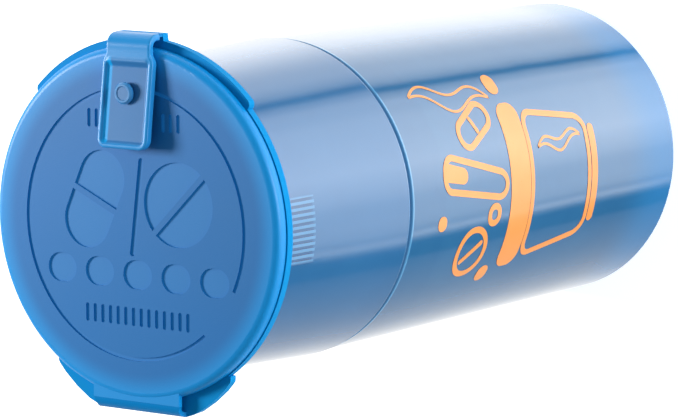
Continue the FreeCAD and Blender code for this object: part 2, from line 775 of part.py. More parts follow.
def make_latch_tab():
    body = new_body("latch_tab")
    tilt = size("latch_tilt")
    root_y = -size("latch_root")
    tip_y = root_y + size("latch_length") * cosine(tilt)
    rise = size("latch_length") * sine(tilt)
    under = lid_top + size("latch_lift")
    over = under + size("latch_thickness") / cosine(tilt)
    sketch = new_sketch(body, "tab_profile", "YZ_Plane")
    outline(sketch, [(root_y, under), (tip_y, under + rise), (tip_y, over + rise), (root_y, over)])
    add_feature(body, "Pad", "tab", sketch, True, Length=size("latch_width"), Midplane=True)
    soften(
        body, "tab_corners", size("latch_corner"),
        lambda e: e.Length < 2 and abs(e.CenterOfMass.y - tip_y.value) < 0.05
        and abs(abs(e.CenterOfMass.x) - size("latch_width").value / 2) < 0.01,
    )
    strap_bottom = flange_top + size("latch_web_height")
    outside = -size("hinge_reach")
    inside = outside + size("latch_thickness") * 0.85
    sketch = new_sketch(body, "neck_profile", "YZ_Plane")
    outline(sketch, [
        (inside, strap_bottom),
        (inside, under - 0.25),
        (inside + 0.5, under + 0.1),
        (root_y - 0.6, under + 0.1),
        (root_y + 0.3, under),
        (root_y + 0.3, over),
        (root_y - 1.2, over + 0.1),
        (outside + 0.9, over - 0.15),
        (outside + 0.25, over - 0.75),
        (outside, over - 1.5),
        (outside, strap_bottom),
    ])
    add_feature(body, "Pad", "neck", sketch, True, Length=size("latch_neck_width"), Midplane=True)
    border = size("latch_border")
    near_y = root_y + border * cosine(tilt)
    near_z = over + border * sine(tilt)
    far_y = tip_y - border * cosine(tilt)
    far_z = over + rise - border * sine(tilt)
    depth = size("latch_panel_depth")
    panel = new_sketch(body, "panel_profile", "YZ_Plane")
    outline(panel, [
        (near_y, near_z - depth), (far_y, far_z - depth), (far_y, far_z + 1), (near_y, near_z + 1),
    ])
    panel_width = size("latch_width") - border * 2
    add_feature(body, "Pocket", "panel", panel, False, Length=panel_width, Midplane=True)
    hole = new_sketch(body, "stud_clearance_section", "XY_Plane", lid_top + 5)
    circle(hole, 0, -size("stud_offset"), size("stud_shank_radius") + 0.2)
    add_feature(body, "Pocket", "stud_clearance", hole, False, Length=as_size(6))
    return body


def make_latch_hinge_web():
    """The living hinge of the latch: a thin strip between the flange's lug and the latch's neck."""
    web = doc.addObject("Part::Box", "latch_hinge_web")
    web.Label = "latch_hinge_web"
    bind(
        web,
        Length=size("latch_neck_width"),
        Width=size("latch_web_thickness"),
        Height=size("latch_web_height"),
    )
    web.setExpression(".Placement.Base.x", (-size("latch_neck_width") / 2).text)
    web.setExpression(".Placement.Base.y", (-size("hinge_reach")).text)
    web.setExpression(".Placement.Base.z", flange_top.text)
    return web


# ---------------------------------------------------------------- build, check and write

pieces = [
    make_vial(),
    make_coupling_ring(),
    make_seal_ring(),
    make_lower_tooth_plate(),
    make_upper_tooth_plate(),
    make_barrel(),
    make_lid(),
    make_lid_hinge_web(),
    make_latch_stud(),
    make_latch_tab(),
    make_latch_hinge_web(),
]
doc.recompute()

faulty = [thing.Name for thing in doc.Objects if {"Invalid", "Error"} & set(thing.State)]
if faulty:
    raise ValueError(f"these objects failed: {faulty}")
os.makedirs("parts", exist_ok=True)
for piece in pieces:
    if piece.Shape.isNull() or not piece.Shape.isValid():
        raise ValueError(f"{piece.Label} has no valid shape")
for piece in pieces:
    piece.Shape.exportStep(f"parts/{piece.Label}.step")
    box = piece.Shape.BoundBox
    low = f"({box.XMin:.2f}, {box.YMin:.2f}, {box.ZMin:.2f})"
    high = f"({box.XMax:.2f}, {box.YMax:.2f}, {box.ZMax:.2f})"
    print(f"{piece.Label}: {piece.Shape.Volume:.1f} mm3, {len(piece.Shape.Solids)} solid, {low} to {high}")
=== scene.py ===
import math

import bmesh
import bpy
from mathutils import Matrix, Vector


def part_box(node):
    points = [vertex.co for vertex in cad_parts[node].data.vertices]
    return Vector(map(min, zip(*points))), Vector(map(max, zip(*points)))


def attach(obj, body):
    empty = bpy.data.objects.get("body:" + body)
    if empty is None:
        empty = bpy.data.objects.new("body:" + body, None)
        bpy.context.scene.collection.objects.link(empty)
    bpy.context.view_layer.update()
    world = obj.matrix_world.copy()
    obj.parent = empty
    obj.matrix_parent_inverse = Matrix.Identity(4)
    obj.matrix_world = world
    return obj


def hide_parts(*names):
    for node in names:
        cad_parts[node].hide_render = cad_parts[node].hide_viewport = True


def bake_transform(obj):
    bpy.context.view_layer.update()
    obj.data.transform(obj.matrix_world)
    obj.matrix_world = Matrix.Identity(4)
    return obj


bl_info = {
    "name": "Pill crusher",
    "version": (1, 0, 0),
    "blender": (4, 5, 0),
    "location": "3D View > Sidebar > Pill crusher",
    "description": "Dresses the pop-top vial with a twist crusher in its cap, and sets it in a plain studio",
    "category": "Object",
}

MM = 0.001
BLACK = (0, 0, 0, 1)
WHITE = (1, 1, 1, 1)
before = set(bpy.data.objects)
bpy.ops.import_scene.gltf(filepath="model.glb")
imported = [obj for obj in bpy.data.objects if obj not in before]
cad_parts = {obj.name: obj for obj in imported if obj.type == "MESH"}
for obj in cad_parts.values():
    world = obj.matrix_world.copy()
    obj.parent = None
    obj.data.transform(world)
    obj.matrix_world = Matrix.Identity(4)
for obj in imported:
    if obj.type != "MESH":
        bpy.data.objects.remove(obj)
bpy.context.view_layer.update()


# ---------------------------------------------------------------- settings


def colour_setting(name, description, red, green, blue):
    """A colour as a screen shows it, from 0 to 255 a channel."""
    return bpy.props.FloatVectorProperty(
        name=name,
        description=description,
        default=(red / 255, green / 255, blue / 255),
        subtype="COLOR_GAMMA",
        min=0,
        max=1,
    )


def length_setting(name, description, millimetres):
    return bpy.props.FloatProperty(
        name=name, description=description, default=millimetres * MM, subtype="DISTANCE", unit="LENGTH"
    )


def plain_setting(name, description, default):
    return bpy.props.FloatProperty(name=name, description=description, default=default, min=0)


def angle_setting(name, description, degrees):
    return bpy.props.FloatProperty(
        name=name, description=description, default=math.radians(degrees), subtype="ANGLE", unit="ROTATION"
    )


class PlasticColours(bpy.types.PropertyGroup):
    """Colours of the moulded pieces and of the print."""

    vial: colour_setting("Vial", "Tinted wall of the vial", 51, 115, 163)
    # Deeper tone of the thicker plastic, also used as painted shade between the barrel's ribs and inside the
    # barrel.
    deep_tone_and_shade: colour_setting("Vial, thick places", "Wall where the plastic is thicker", 34, 98, 150)
    vial_foot: colour_setting("Vial, foot", "Wall near the floor, where light gathers", 48, 129, 188)
    barrel: colour_setting("Barrel", "Tinted wall of the squeeze barrel", 50, 115, 168)
    flange: colour_setting("Flange", "Flange round the barrel's mouth", 0, 146, 216)
    # Painted highlight: a paler colour laid on the barrel's rounded edge over the seam, the vial's mouth and
    # the rib crests.
    lip_highlight: colour_setting("Lip", "Rounded edge of the barrel over the seam", 107, 184, 235)
    lid: colour_setting("Lid", "Satin face of the lid", 16, 116, 189)
    lid_rim: colour_setting("Lid rim", "Rounded edge of the lid, where light gathers", 0, 150, 228)
    # Partly the panels' own paler tone, partly painted light that lifts the shade in the sunk panels.
    lid_panel: colour_setting("Lid panels", "Sunk panels of the emblem", 34, 112, 174)
    latch: colour_setting("Latch", "Panel of the latch", 52, 124, 186)
    # Painted highlight along the latch's raised edge and neck.
    latch_edge: colour_setting("Latch edge", "Raised edge and neck of the latch", 40, 150, 222)
    web: colour_setting("Web", "Thin plastic of the living hinges", 0, 134, 208)
    # Painted highlight on the rounded ring of the stud's head.
    stud: colour_setting("Stud", "Stud that holds the latch", 50, 140, 206)
    # Painted glow, laid in the groove on one side of the latch only.
    latch_groove: colour_setting("Latch groove", "Glowing foot of the latch's raised edge", 0, 178, 255)
    crusher: colour_setting("Crusher", "Toothed plates and coupling ring", 28, 96, 168)
    seal: colour_setting("Seal", "Silicone ring", 214, 222, 230)
    seal_shade: colour_setting("Seal, shade", "Silicone ring where it is cloudier", 168.3, 183.6, 204)
    ink: colour_setting("Ink", "One-colour print", 255, 160, 78)
    ink_thin: colour_setting("Ink, thin places", "Print where the ink lies thinner", 255, 184, 107)


class HingeSizes(bpy.types.PropertyGroup):
    """Sizes of the two living hinges."""

    lid_thickness: length_setting("Lid web", "Thickness of the lid's living hinge", 0.75)
    waist: length_setting("Waist", "How much narrower the lid's web is half-way round", 0.5)
    steps: bpy.props.IntProperty(name="Steps", description="Steps round each web's bend", default=14, min=4)


class LatchSizes(bpy.types.PropertyGroup):
    """Sizes of the hasp that snaps over the stud."""

    length: length_setting("Length", "Length of the flat plate", 13.2)
    half_width: length_setting("Half width", "Half the width of the plate", 4.7)
    thickness: length_setting("Thickness", "Thickness of the plate at its raised edge", 1.2)
    strap: length_setting("Strap", "Thickness of the neck", 1.02)
    border: length_setting("Border", "Width of the raised edge", 0.95)
    recess: length_setting("Recess", "Depth of the panel inside the raised edge", 0.42)
    corner: length_setting("Corner", "Rounding of the tip's two corners", 1.5)
    edge: length_setting("Edge", "Rounding of the edges", 0.35)
    neck: length_setting("Neck", "Half the width of the neck over the lid's edge", 4.1)
    root: length_setting("Root", "From the axis to where the plate begins", 24.7)
    bend: length_setting("Bend", "Inner radius of the neck's bend", 0.98)
    lift: length_setting("Lift", "From the lid to the plate's underside at its root", 0.12)
    tilt: angle_setting("Tilt", "How far the plate rises towards its tip", 7.4)
    hole: length_setting("Hole", "Radius of the hole that the stud goes through", 1.45)


class PrintSizes(bpy.types.PropertyGroup):
    """Sizes of the print on the vial."""

    ink_height: length_setting("Ink height", "How far the ink stands off the wall", 0.03)
    gap: length_setting("Gap", "From the wall to the underside of the ink", 0.02)
    line: length_setting("Line", "Width of the heavy lines", 1.05)
    fine_line: length_setting("Fine line", "Width of the thin lines", 0.45)
    slice_width: length_setting("Slice", "Width of the strips that bend round the wall", 0.8)
    wall_foot: length_setting("Wall at the foot", "Radius of the vial's wall at its closed end", 24.75)
    wall_mouth: length_setting("Wall at the mouth", "Radius of the vial's wall at its open end", 25)
    wall_height: length_setting("Wall height", "Height of the vial", 80)


class StudioSettings(bpy.types.PropertyGroup):
    """Camera, light and floor."""

    lens: plain_setting("Lens", "Focal length in millimetres", 213.9)
    distance: length_setting("Distance", "From the camera to the point it looks at", 649.05)
    eye_azimuth: angle_setting("Azimuth", "Direction of the camera round the vial, from +X", -166.465)
    elevation: angle_setting("Elevation", "Height of the camera above the horizon", 54.09)
    roll: angle_setting("Roll", "Turn of the camera about its line of sight", 101.107)
    ambient: plain_setting("Ambient", "Strength of the even light from all round", 0.26)
    key: plain_setting("Key", "Power of the main softbox, in watts", 1.27)
    fill: plain_setting("Fill", "Power of the softbox by the camera's side, in watts", 2.8)
    reflected: plain_setting("Reflected", "Brightest part of the room that the gloss shows", 3.2)
    overhead: plain_setting("Overhead", "Brightness of the room above the horizon that the gloss shows", 0.35)
    floor_size: length_setting("Floor", "Width of the floor", 4000)
    floor_glow: plain_setting("Floor glow", "Light that the pale floor gives back by itself", 0.72)


# ---------------------------------------------------------------- shader maths


def linear(colour):
    """A screen colour as the shaders want it, with alpha."""
    channels = [c / 12.92 if c <= 0.04045 else ((c + 0.055) / 1.055) ** 2.4 for c in colour]
    return (*channels, 1.0)


class Wire:
    """A shader socket. Sums, products and powers of wires add their Math nodes."""

    def __init__(self, tree, socket):
        self.tree = tree
        self.socket = socket

    def math(self, operation, first, second):
        node = self.tree.nodes.new("ShaderNodeMath")
        node.operation = operation
        for socket, value in zip(node.inputs, (first, second)):
            if isinstance(value, Wire):
                self.tree.links.new(value.socket, socket)
            else:
                socket.default_value = value
        return Wire(self.tree, node.outputs[0])

    def __add__(self, other):
        return self.math("ADD", self, other)

    def __radd__(self, other):
        return self.math("ADD", other, self)

    def __sub__(self, other):
        return self.math("SUBTRACT", self, other)

    def __rsub__(self, other):
        return self.math("SUBTRACT", other, self)

    def __mul__(self, other):
        return self.math("MULTIPLY", self, other)

    def __rmul__(self, other):
        return self.math("MULTIPLY", other, self)

    def __truediv__(self, other):
        return self.math("DIVIDE", self, other)

    def __pow__(self, other):
        return self.math("POWER", self, other)


class NodeTree:
    """A node tree with one method that adds any node."""

    def __init__(self, tree):
        self.tree = tree
        tree.nodes.clear()

    def add(self, kind, settings=None, stops=None, output=0, **sockets):
        """A node of that kind. In socket names _ is a space, and in0, in1, ... are sockets by their place."""
        node = self.tree.nodes.new("ShaderNode" + kind)
        for name, value in (settings or {}).items():
            setattr(node, name, value)
        if stops:
            elements = node.color_ramp.elements
            while len(elements) < len(stops):
                elements.new(0.5)
            for element, (position, level) in zip(elements, stops):
                element.position = position
                element.color = (level, level, level, 1)
        for name, value in sockets.items():
            by_place = name.startswith("in") and name[2:].isdigit()
            socket = node.inputs[int(name[2:]) if by_place else name.replace("_", " ")]
            if isinstance(value, Wire):
                self.tree.links.new(value.socket, socket)
            else:
                socket.default_value = value
        return Wire(self.tree, node.outputs[output])

    def rise(self, value, low, high):
        """0 below low, 1 above high, and smooth between."""
        return self.add(
            "MapRange", {"interpolation_type": "SMOOTHSTEP"}, in0=value, in1=low, in2=high, in3=0.0, in4=1.0
        )

    def band(self, value, low, high, soft):
        """1 between low and high, with soft sides."""
        return self.rise(value, low - soft, low + soft) * (1 - self.rise(value, high - soft, high + soft))

    def noise(self, place, grain, detail=2.0):
        """Noise with grains of that many millimetres."""
        return self.add("TexNoise", in0=place, Scale=1 / (grain * MM), Detail=detail)

    def mix(self, factor, first, second):
        """Between two colours."""
        return self.add(
            "Mix", {"data_type": "RGBA", "clamp_factor": True}, output=2, in0=factor, in6=first, in7=second
        )


# Light that the translucent plastic carries into the lid's grooves.
GROOVE_GLOW = 0.25
# Heights over the floor and distances from the axis where the looks change, in millimetres.
FLANGE_UNDERSIDE = (113.3, 113.9)
BARREL_LIP = (80.75, 81.05)
BARREL_INSIDE = (22.9, 23.5)
RIB_HEIGHTS = (104.7, 112.9)
RIB_SIDES = (4.8, 5.1)
RIB_CREST = (0.15, 0.34)
VIAL_FOOT = (4.0, 18.0)
VIAL_BASE = (1.0, 9.0)
VIAL_FLOOR = (1.2, 2.6)
VIAL_SEAT = (70.5, 79.6)
VIAL_MOUTH = (79.3, 79.75)
LID_RIM = (22.4, 26.2)
EMBLEM_EDGE = (23, 24)
STUD_RING = (0.95, 1.25)
# The squeeze barrel's wall leans in: its radius is WALL_START less WALL_SLOPE for each millimetre of height.
WALL_START = 29.106
WALL_SLOPE = 0.0479


class Finish(NodeTree):
    """A material's node tree round one Principled shader. Places are in millimetres."""

    def __init__(self, name):
        self.material = bpy.data.materials.new(name)
        self.material.use_nodes = True
        super().__init__(self.material.node_tree)
        self.shader = self.tree.nodes.new("ShaderNodeBsdfPrincipled")
        self.out = self.tree.nodes.new("ShaderNodeOutputMaterial")
        self.tree.links.new(self.shader.outputs[0], self.out.inputs["Surface"])
        self.place = self.add("TexCoord", output=3)
        split = self.tree.nodes.new("ShaderNodeSeparateXYZ")
        self.tree.links.new(self.place.socket, split.inputs[0])
        self.x, self.y, self.z = (Wire(self.tree, socket) * (1 / MM) for socket in split.outputs)
        self.radius = (self.x * self.x + self.y * self.y) ** 0.5

    def set(self, **sockets):
        """Sets or links the shader's sockets."""
        for name, value in sockets.items():
            socket = self.shader.inputs[name.replace("_", " ")]
            if isinstance(value, Wire):
                self.tree.links.new(value.socket, socket)
            else:
                socket.default_value = value

    def satin_where(self, factor, colour, roughness):
        """Where factor is 1 the surface is satin in that colour, with little gloss."""
        satin = self.add("BsdfPrincipled", Base_Color=colour, Roughness=roughness, Specular_IOR_Level=0.06)
        both = self.add("MixShader", in0=factor, in1=Wire(self.tree, self.shader.outputs[0]), in2=satin)
        self.tree.links.new(both.socket, self.out.inputs["Surface"])

    def bump(self, height, depth):
        """Relief of that many millimetres."""
        self.set(Normal=self.add("Bump", Strength=1.0, Distance=depth * MM, Height=height))


def palette():
    return bpy.context.scene.pill_colours


def vial_finish():
    """Gloss polypropylene with a slight waviness, hazier near the foot, and a painted highlight just below
    the mouth.
    """
    finish = Finish("vial_tinted_gloss")
    look = palette()
    cloud = finish.noise(finish.place, 14)
    streak = finish.noise(finish.place, 3.5, 3)
    foot = 1 - finish.rise(finish.z, *VIAL_BASE)
    floor_line = finish.band(finish.z, *VIAL_FLOOR, 0.5)
    thick = finish.band(finish.z, *VIAL_SEAT, 0.6)
    shade = (cloud - 0.5) * 0.5 + (streak - 0.5) * 0.16 + 0.28 + thick * 0.12 + floor_line * 0.2 - foot * 0.2
    colour = finish.mix(shade, linear(look.vial), linear(look.deep_tone_and_shade))
    near_foot = 1 - finish.rise(finish.z, *VIAL_FOOT)
    colour = finish.mix(near_foot, colour, linear(look.vial_foot))
    # Painted highlight: a pale band just below the vial's mouth.
    mouth_highlight = finish.band(finish.z, *VIAL_MOUTH, 0.08)
    colour = finish.mix(mouth_highlight * 0.6, colour, linear(look.lip_highlight))
    finish.set(
        Base_Color=colour,
        Roughness=0.06 + (cloud - 0.5) * 0.04 + foot * 0.05,
        IOR=1.5,
        Coat_Weight=0.7 - near_foot * 0.4,
        Coat_Roughness=0.035,
    )
    wave = finish.noise(finish.place, 9, 1)
    peel = finish.noise(finish.place, 0.9, 2)
    finish.bump(wave * 1.0 + peel * 0.04, 0.045)
    return finish.material


def barrel_finish():
    """The same gloss plastic, with a saturated satin flange, painted highlights on the rib crests and the
    rounded edge over the seam, and painted shade between the ribs and inside.
    """
    finish = Finish("barrel_tinted_gloss")
    look = palette()
    cloud = finish.noise(finish.place, 12)
    flange = finish.rise(finish.z, *FLANGE_UNDERSIDE)
    # Painted highlight on the barrel's rounded edge over the seam.
    lip_highlight = 1 - finish.rise(finish.z, *BARREL_LIP)
    proud = finish.radius - (WALL_START - finish.z * WALL_SLOPE)
    sideways = (finish.y * finish.y) ** 0.5
    among_ribs = finish.band(finish.z, *RIB_HEIGHTS, 0.2) * (1 - finish.rise(sideways, *RIB_SIDES))
    crest_highlight = finish.rise(proud, *RIB_CREST) * among_ribs
    body = finish.mix((cloud - 0.5) * 0.5 + 0.2, linear(look.barrel), linear(look.deep_tone_and_shade))
    # Painted shade in the grooves between the ribs.
    body = finish.mix((among_ribs - crest_highlight) * 0.8, body, linear(look.deep_tone_and_shade))
    # Painted highlight on the rib crests and the edge over the seam.
    body = finish.mix(crest_highlight * 0.4 + lip_highlight * 0.6, body, linear(look.lip_highlight))
    # Painted shade: the barrel's inner wall darkened.
    inside = 1 - finish.rise(finish.radius, *BARREL_INSIDE)
    colour = finish.mix(inside * 0.5, body, linear(look.deep_tone_and_shade))
    finish.set(
        Base_Color=colour,
        Roughness=0.12,
        IOR=1.5,
        Coat_Weight=0.7,
        Coat_Roughness=0.06,
    )
    finish.satin_where(flange, linear(look.flange), 0.55)
    wave = finish.noise(finish.place, 8, 1)
    peel = finish.noise(finish.place, 0.8, 2)
    finish.bump(wave * 1.0 + peel * 0.06, 0.028)
    return finish.material


def lid_finish(lid_top):
    """Satin moulded face with a fine grain. The sunk panels are paler, partly in their own tone and partly by
    painted light, and glow a little; the edge carries a painted glow.
    """
    finish = Finish("lid_satin")
    look = palette()
    cloud = finish.noise(finish.place, 16)
    grain = finish.noise(finish.place, 0.22, 3)
    rim = finish.rise(finish.radius, *LID_RIM)
    in_emblem = 1 - finish.rise(finish.radius, *EMBLEM_EDGE)
    sunk = (1 - finish.rise(finish.z, lid_top - 0.2, lid_top - 0.02)) * in_emblem
    # Sunk panels: a paler tone, partly their own and partly painted light that lifts their shade.
    face = finish.mix(sunk, linear(look.lid), linear(look.lid_panel))
    face = finish.mix((cloud - 0.5) * 0.35 + 0.05, face, linear(look.vial))
    colour = finish.mix(rim, face, linear(look.lid_rim))
    finish.set(
        Base_Color=colour,
        Roughness=0.46 + (grain - 0.5) * 0.12 - rim * 0.04,
        IOR=1.5,
        Specular_IOR_Level=0.32,
        # Painted glow in the sunk panels: emission, though the lid is no lamp.
        Emission_Color=finish.mix(sunk, BLACK, linear(look.lid)),
        Emission_Strength=GROOVE_GLOW,
        Coat_Weight=rim * 0.1,
        Coat_Roughness=0.3,
    )
    finish.bump(grain * 1.0 + cloud * 0.6, 0.012)
    return finish.material


def latch_finish(sizes, tip_y):
    """Satin plastic, with a painted highlight along the raised edge and over the neck, and a painted glow in
    the groove along one side.
    """
    finish = Finish("latch_satin")
    look = palette()
    half, border = sizes.half_width / MM, sizes.border / MM
    across = (finish.x * finish.x) ** 0.5
    sides = finish.rise(across, half - border - 0.1, half - border + 0.35)
    tip = finish.rise(finish.y, tip_y - border - 0.1, tip_y - border + 0.35)
    neck = 1 - finish.rise(finish.y, -sizes.root / MM - 0.8, -sizes.root / MM + 0.4)
    # Painted highlight along the raised edge, the tip and the neck.
    bright = finish.add("Clamp", Value=sides + tip + neck)
    # Painted glow in the groove on one side of the raised edge.
    groove = finish.band(finish.x, half - border - 0.75, half - border + 0.1, 0.2)
    grain = finish.noise(finish.place, 0.25, 3)
    cloud = finish.noise(finish.place, 5)
    panel = finish.mix((cloud - 0.5) * 0.6 + 0.1, linear(look.latch), linear(look.lid))
    panel = finish.mix(groove * 0.9, panel, linear(look.latch_groove))
    finish.set(
        Base_Color=finish.mix(bright, panel, linear(look.latch_edge)),
        Roughness=0.42 + (grain - 0.5) * 0.1 - bright * 0.12,
        IOR=1.5,
        Specular_IOR_Level=0.22,
        Coat_Weight=bright * 0.15,
        Coat_Roughness=0.2,
    )
    finish.bump(grain, 0.008)
    return finish.material


def stud_finish(stud_y):
    """Satin plastic, with a painted highlight on the rounded ring of the stud's head."""
    finish = Finish("stud_satin")
    look = palette()
    off_axis = (finish.x * finish.x + (finish.y - stud_y) * (finish.y - stud_y)) ** 0.5
    # Painted highlight on the head's rounded ring.
    ring = finish.rise(off_axis, *STUD_RING)
    grain = finish.noise(finish.place, 0.25, 3)
    finish.set(
        Base_Color=finish.mix(ring, linear(look.latch), linear(look.stud)),
        Roughness=0.34 + (grain - 0.5) * 0.1,
        IOR=1.5,
        Coat_Weight=ring * 0.4,
        Coat_Roughness=0.1,
    )
    finish.bump(grain, 0.006)
    return finish.material


def web_finish():
    """The thin plastic of a living hinge, whitened a little along the fold."""
    finish = Finish("living_hinge")
    look = palette()
    grain = finish.noise(finish.place, 0.3, 3)
    streaks = finish.add(
        "TexWave", {"bands_direction": "X"}, output=1, in0=finish.place, Scale=900, Distortion=3
    )
    colour = finish.mix(streaks * 0.25, linear(look.web), linear(look.lid_rim))
    finish.set(
        Base_Color=colour,
        Roughness=0.45 + (grain - 0.5) * 0.1,
        IOR=1.5,
        Specular_IOR_Level=0.1,
    )
    finish.bump(grain, 0.006)
    return finish.material


def crusher_finish():
    """Moulded crusher plastic with swirl marks and dusty recesses."""
    finish = Finish("crusher_plastic")
    look = palette()
    cloud = finish.noise(finish.place, 6)
    scratch = finish.noise(finish.place, 0.6, 4)
    colour = finish.mix(cloud * 0.5, linear(look.crusher), linear(look.vial))
    finish.set(Base_Color=colour, Roughness=0.24 + scratch * 0.14, IOR=1.5, Coat_Weight=0.2)
    finish.bump(scratch, 0.008)
    return finish.material


def seal_finish():
    """Pale silicone with a fine matt skin."""
    finish = Finish("silicone")
    look = palette()
    cloud = finish.noise(finish.place, 2)
    colour = finish.mix(cloud * 0.4, linear(look.seal), linear(look.seal_shade))
    finish.set(Base_Color=colour, Roughness=0.5 + (cloud - 0.5) * 0.1, IOR=1.43)
    finish.bump(cloud, 0.004)
    return finish.material


def ink_finish():
    """Screen-printed ink: even, slightly thin in places, with a soft gloss."""
    finish = Finish("orange_ink")
    look = palette()
    cloud = finish.noise(finish.place, 5)
    pinholes = finish.noise(finish.place, 0.35, 3)
    colour = finish.mix((cloud - 0.5) * 0.5 + 0.1, linear(look.ink), linear(look.ink_thin))
    finish.set(Base_Color=colour, Roughness=0.3 + (pinholes - 0.5) * 0.12, IOR=1.5, Coat_Weight=0.35)
    finish.bump(pinholes, 0.004)
    return finish.material


# ---------------------------------------------------------------- pieces


def wear(node, material):
    """Gives a CAD node a material. Its mesh stays as it is."""
    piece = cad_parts[node]
    if not piece.material_slots:
        piece.data.materials.append(material)
    for slot in piece.material_slots:
        slot.material = material


def make_piece(bm, name, material, sharp_angle=38):
    """A piece from a finished bmesh, with its place in its mesh."""
    mesh = bpy.data.meshes.new(name)
    bm.to_mesh(mesh)
    bm.free()
    mesh.shade_smooth()
    mesh.set_sharp_from_angle(angle=math.radians(sharp_angle))
    mesh.materials.append(material)
    piece = bpy.data.objects.new(name, mesh)
    bpy.context.scene.collection.objects.link(piece)
    return piece


def close_up(bm):
    """Merges doubles and points the faces outwards."""
    bmesh.ops.remove_doubles(bm, verts=bm.verts, dist=1e-7)
    bmesh.ops.recalc_face_normals(bm, faces=bm.faces)


def verts_of(result):
    return [item for item in result["geom"] if isinstance(item, bmesh.types.BMVert)]


def smooth(value, low, high):
    """0 below low, 1 above high, and smooth between."""
    part = min(max((value - low) / (high - low), 0), 1)
    return part * part * (3 - 2 * part)


class PILLCRUSHER_OT_vial(bpy.types.Operator):
    """Dress the vial in tinted gloss plastic"""

    bl_idname = "pill_crusher.vial"
    bl_label = "Vial"

    def execute(self, context):
        wear("vial", vial_finish())
        return {"FINISHED"}


class PILLCRUSHER_OT_crusher(bpy.types.Operator):
    """Dress the coupling ring, its seal and the two toothed plates"""

    bl_idname = "pill_crusher.crusher"
    bl_label = "Crusher"

    def execute(self, context):
        plastic = crusher_finish()
        for node in ("coupling_ring", "lower_tooth_plate", "upper_tooth_plate"):
            wear(node, plastic)
        wear("seal_ring", seal_finish())
        return {"FINISHED"}


class PILLCRUSHER_OT_barrel(bpy.types.Operator):
    """Dress the squeeze barrel and its flange"""

    bl_idname = "pill_crusher.barrel"
    bl_label = "Barrel"

    def execute(self, context):
        wear("barrel", barrel_finish())
        return {"FINISHED"}


class PILLCRUSHER_OT_lid(bpy.types.Operator):
    """Dress the lid and the stud in satin plastic"""

    bl_idname = "pill_crusher.lid"
    bl_label = "Lid and stud"

    def execute(self, context):
        low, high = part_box("latch_stud")
        wear("lid", lid_finish(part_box("lid")[1].z / MM))
        wear("latch_stud", stud_finish((low.y + high.y) / 2 / MM))
        return {"FINISHED"}


class PILLCRUSHER_OT_hinges(bpy.types.Operator):
    """Build the two living hinges between the barrel and the pieces that swing on it"""

    bl_idname = "pill_crusher.hinges"
    bl_label = "Living hinges"

    def lid_web(self, sizes, material):
        """A quarter-round band, narrower half-way round."""
        low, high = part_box("lid_hinge_web")
        thickness = sizes.lid_thickness
        bm = bmesh.new()
        bmesh.ops.create_grid(bm, x_segments=24, y_segments=3, size=0.5)
        bmesh.ops.scale(bm, verts=bm.verts, vec=(high.x - low.x, thickness, 1))
        bmesh.ops.rotate(bm, verts=bm.verts, matrix=Matrix.Rotation(math.radians(90), 3, "X"))
        bmesh.ops.translate(bm, verts=bm.verts, vec=(0, low.y, high.z - thickness / 2))
        section = [*bm.verts, *bm.edges, *bm.faces]
        quarter = math.radians(90)
        bmesh.ops.spin(
            bm, geom=section, cent=(0, low.y, low.z), axis=(-1, 0, 0), angle=quarter, steps=sizes.steps
        )
        close_up(bm)
        for vert in bm.verts:
            turned = math.atan2(vert.co.y - low.y, vert.co.z - low.z)
            vert.co.x *= 1 - sizes.waist * math.sin(2 * turned) / high.x / 2
        piece = make_piece(bm, "lid_hinge", material)
        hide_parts("lid_hinge_web")
        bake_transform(piece)

    def latch_web(self, sizes, material):
        """A thin strip from the flange to the neck of the latch."""
        low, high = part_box("latch_hinge_web")
        bm = bmesh.new()
        bmesh.ops.create_cube(bm, size=1)
        bmesh.ops.scale(bm, verts=bm.verts, vec=high - low)
        bmesh.ops.translate(bm, verts=bm.verts, vec=(low + high) / 2)
        for step in range(1, sizes.steps):
            place = low.lerp(high, step / sizes.steps)
            whole = [*bm.verts, *bm.edges, *bm.faces]
            bmesh.ops.bisect_plane(bm, geom=whole, plane_co=place, plane_no=(0, 0, 1))
        close_up(bm)
        piece = make_piece(bm, "latch_hinge", material)
        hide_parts("latch_hinge_web")
        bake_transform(piece)

    def execute(self, context):
        sizes = context.scene.pill_hinges
        material = web_finish()
        self.lid_web(sizes, material)
        self.latch_web(sizes, material)
        return {"FINISHED"}


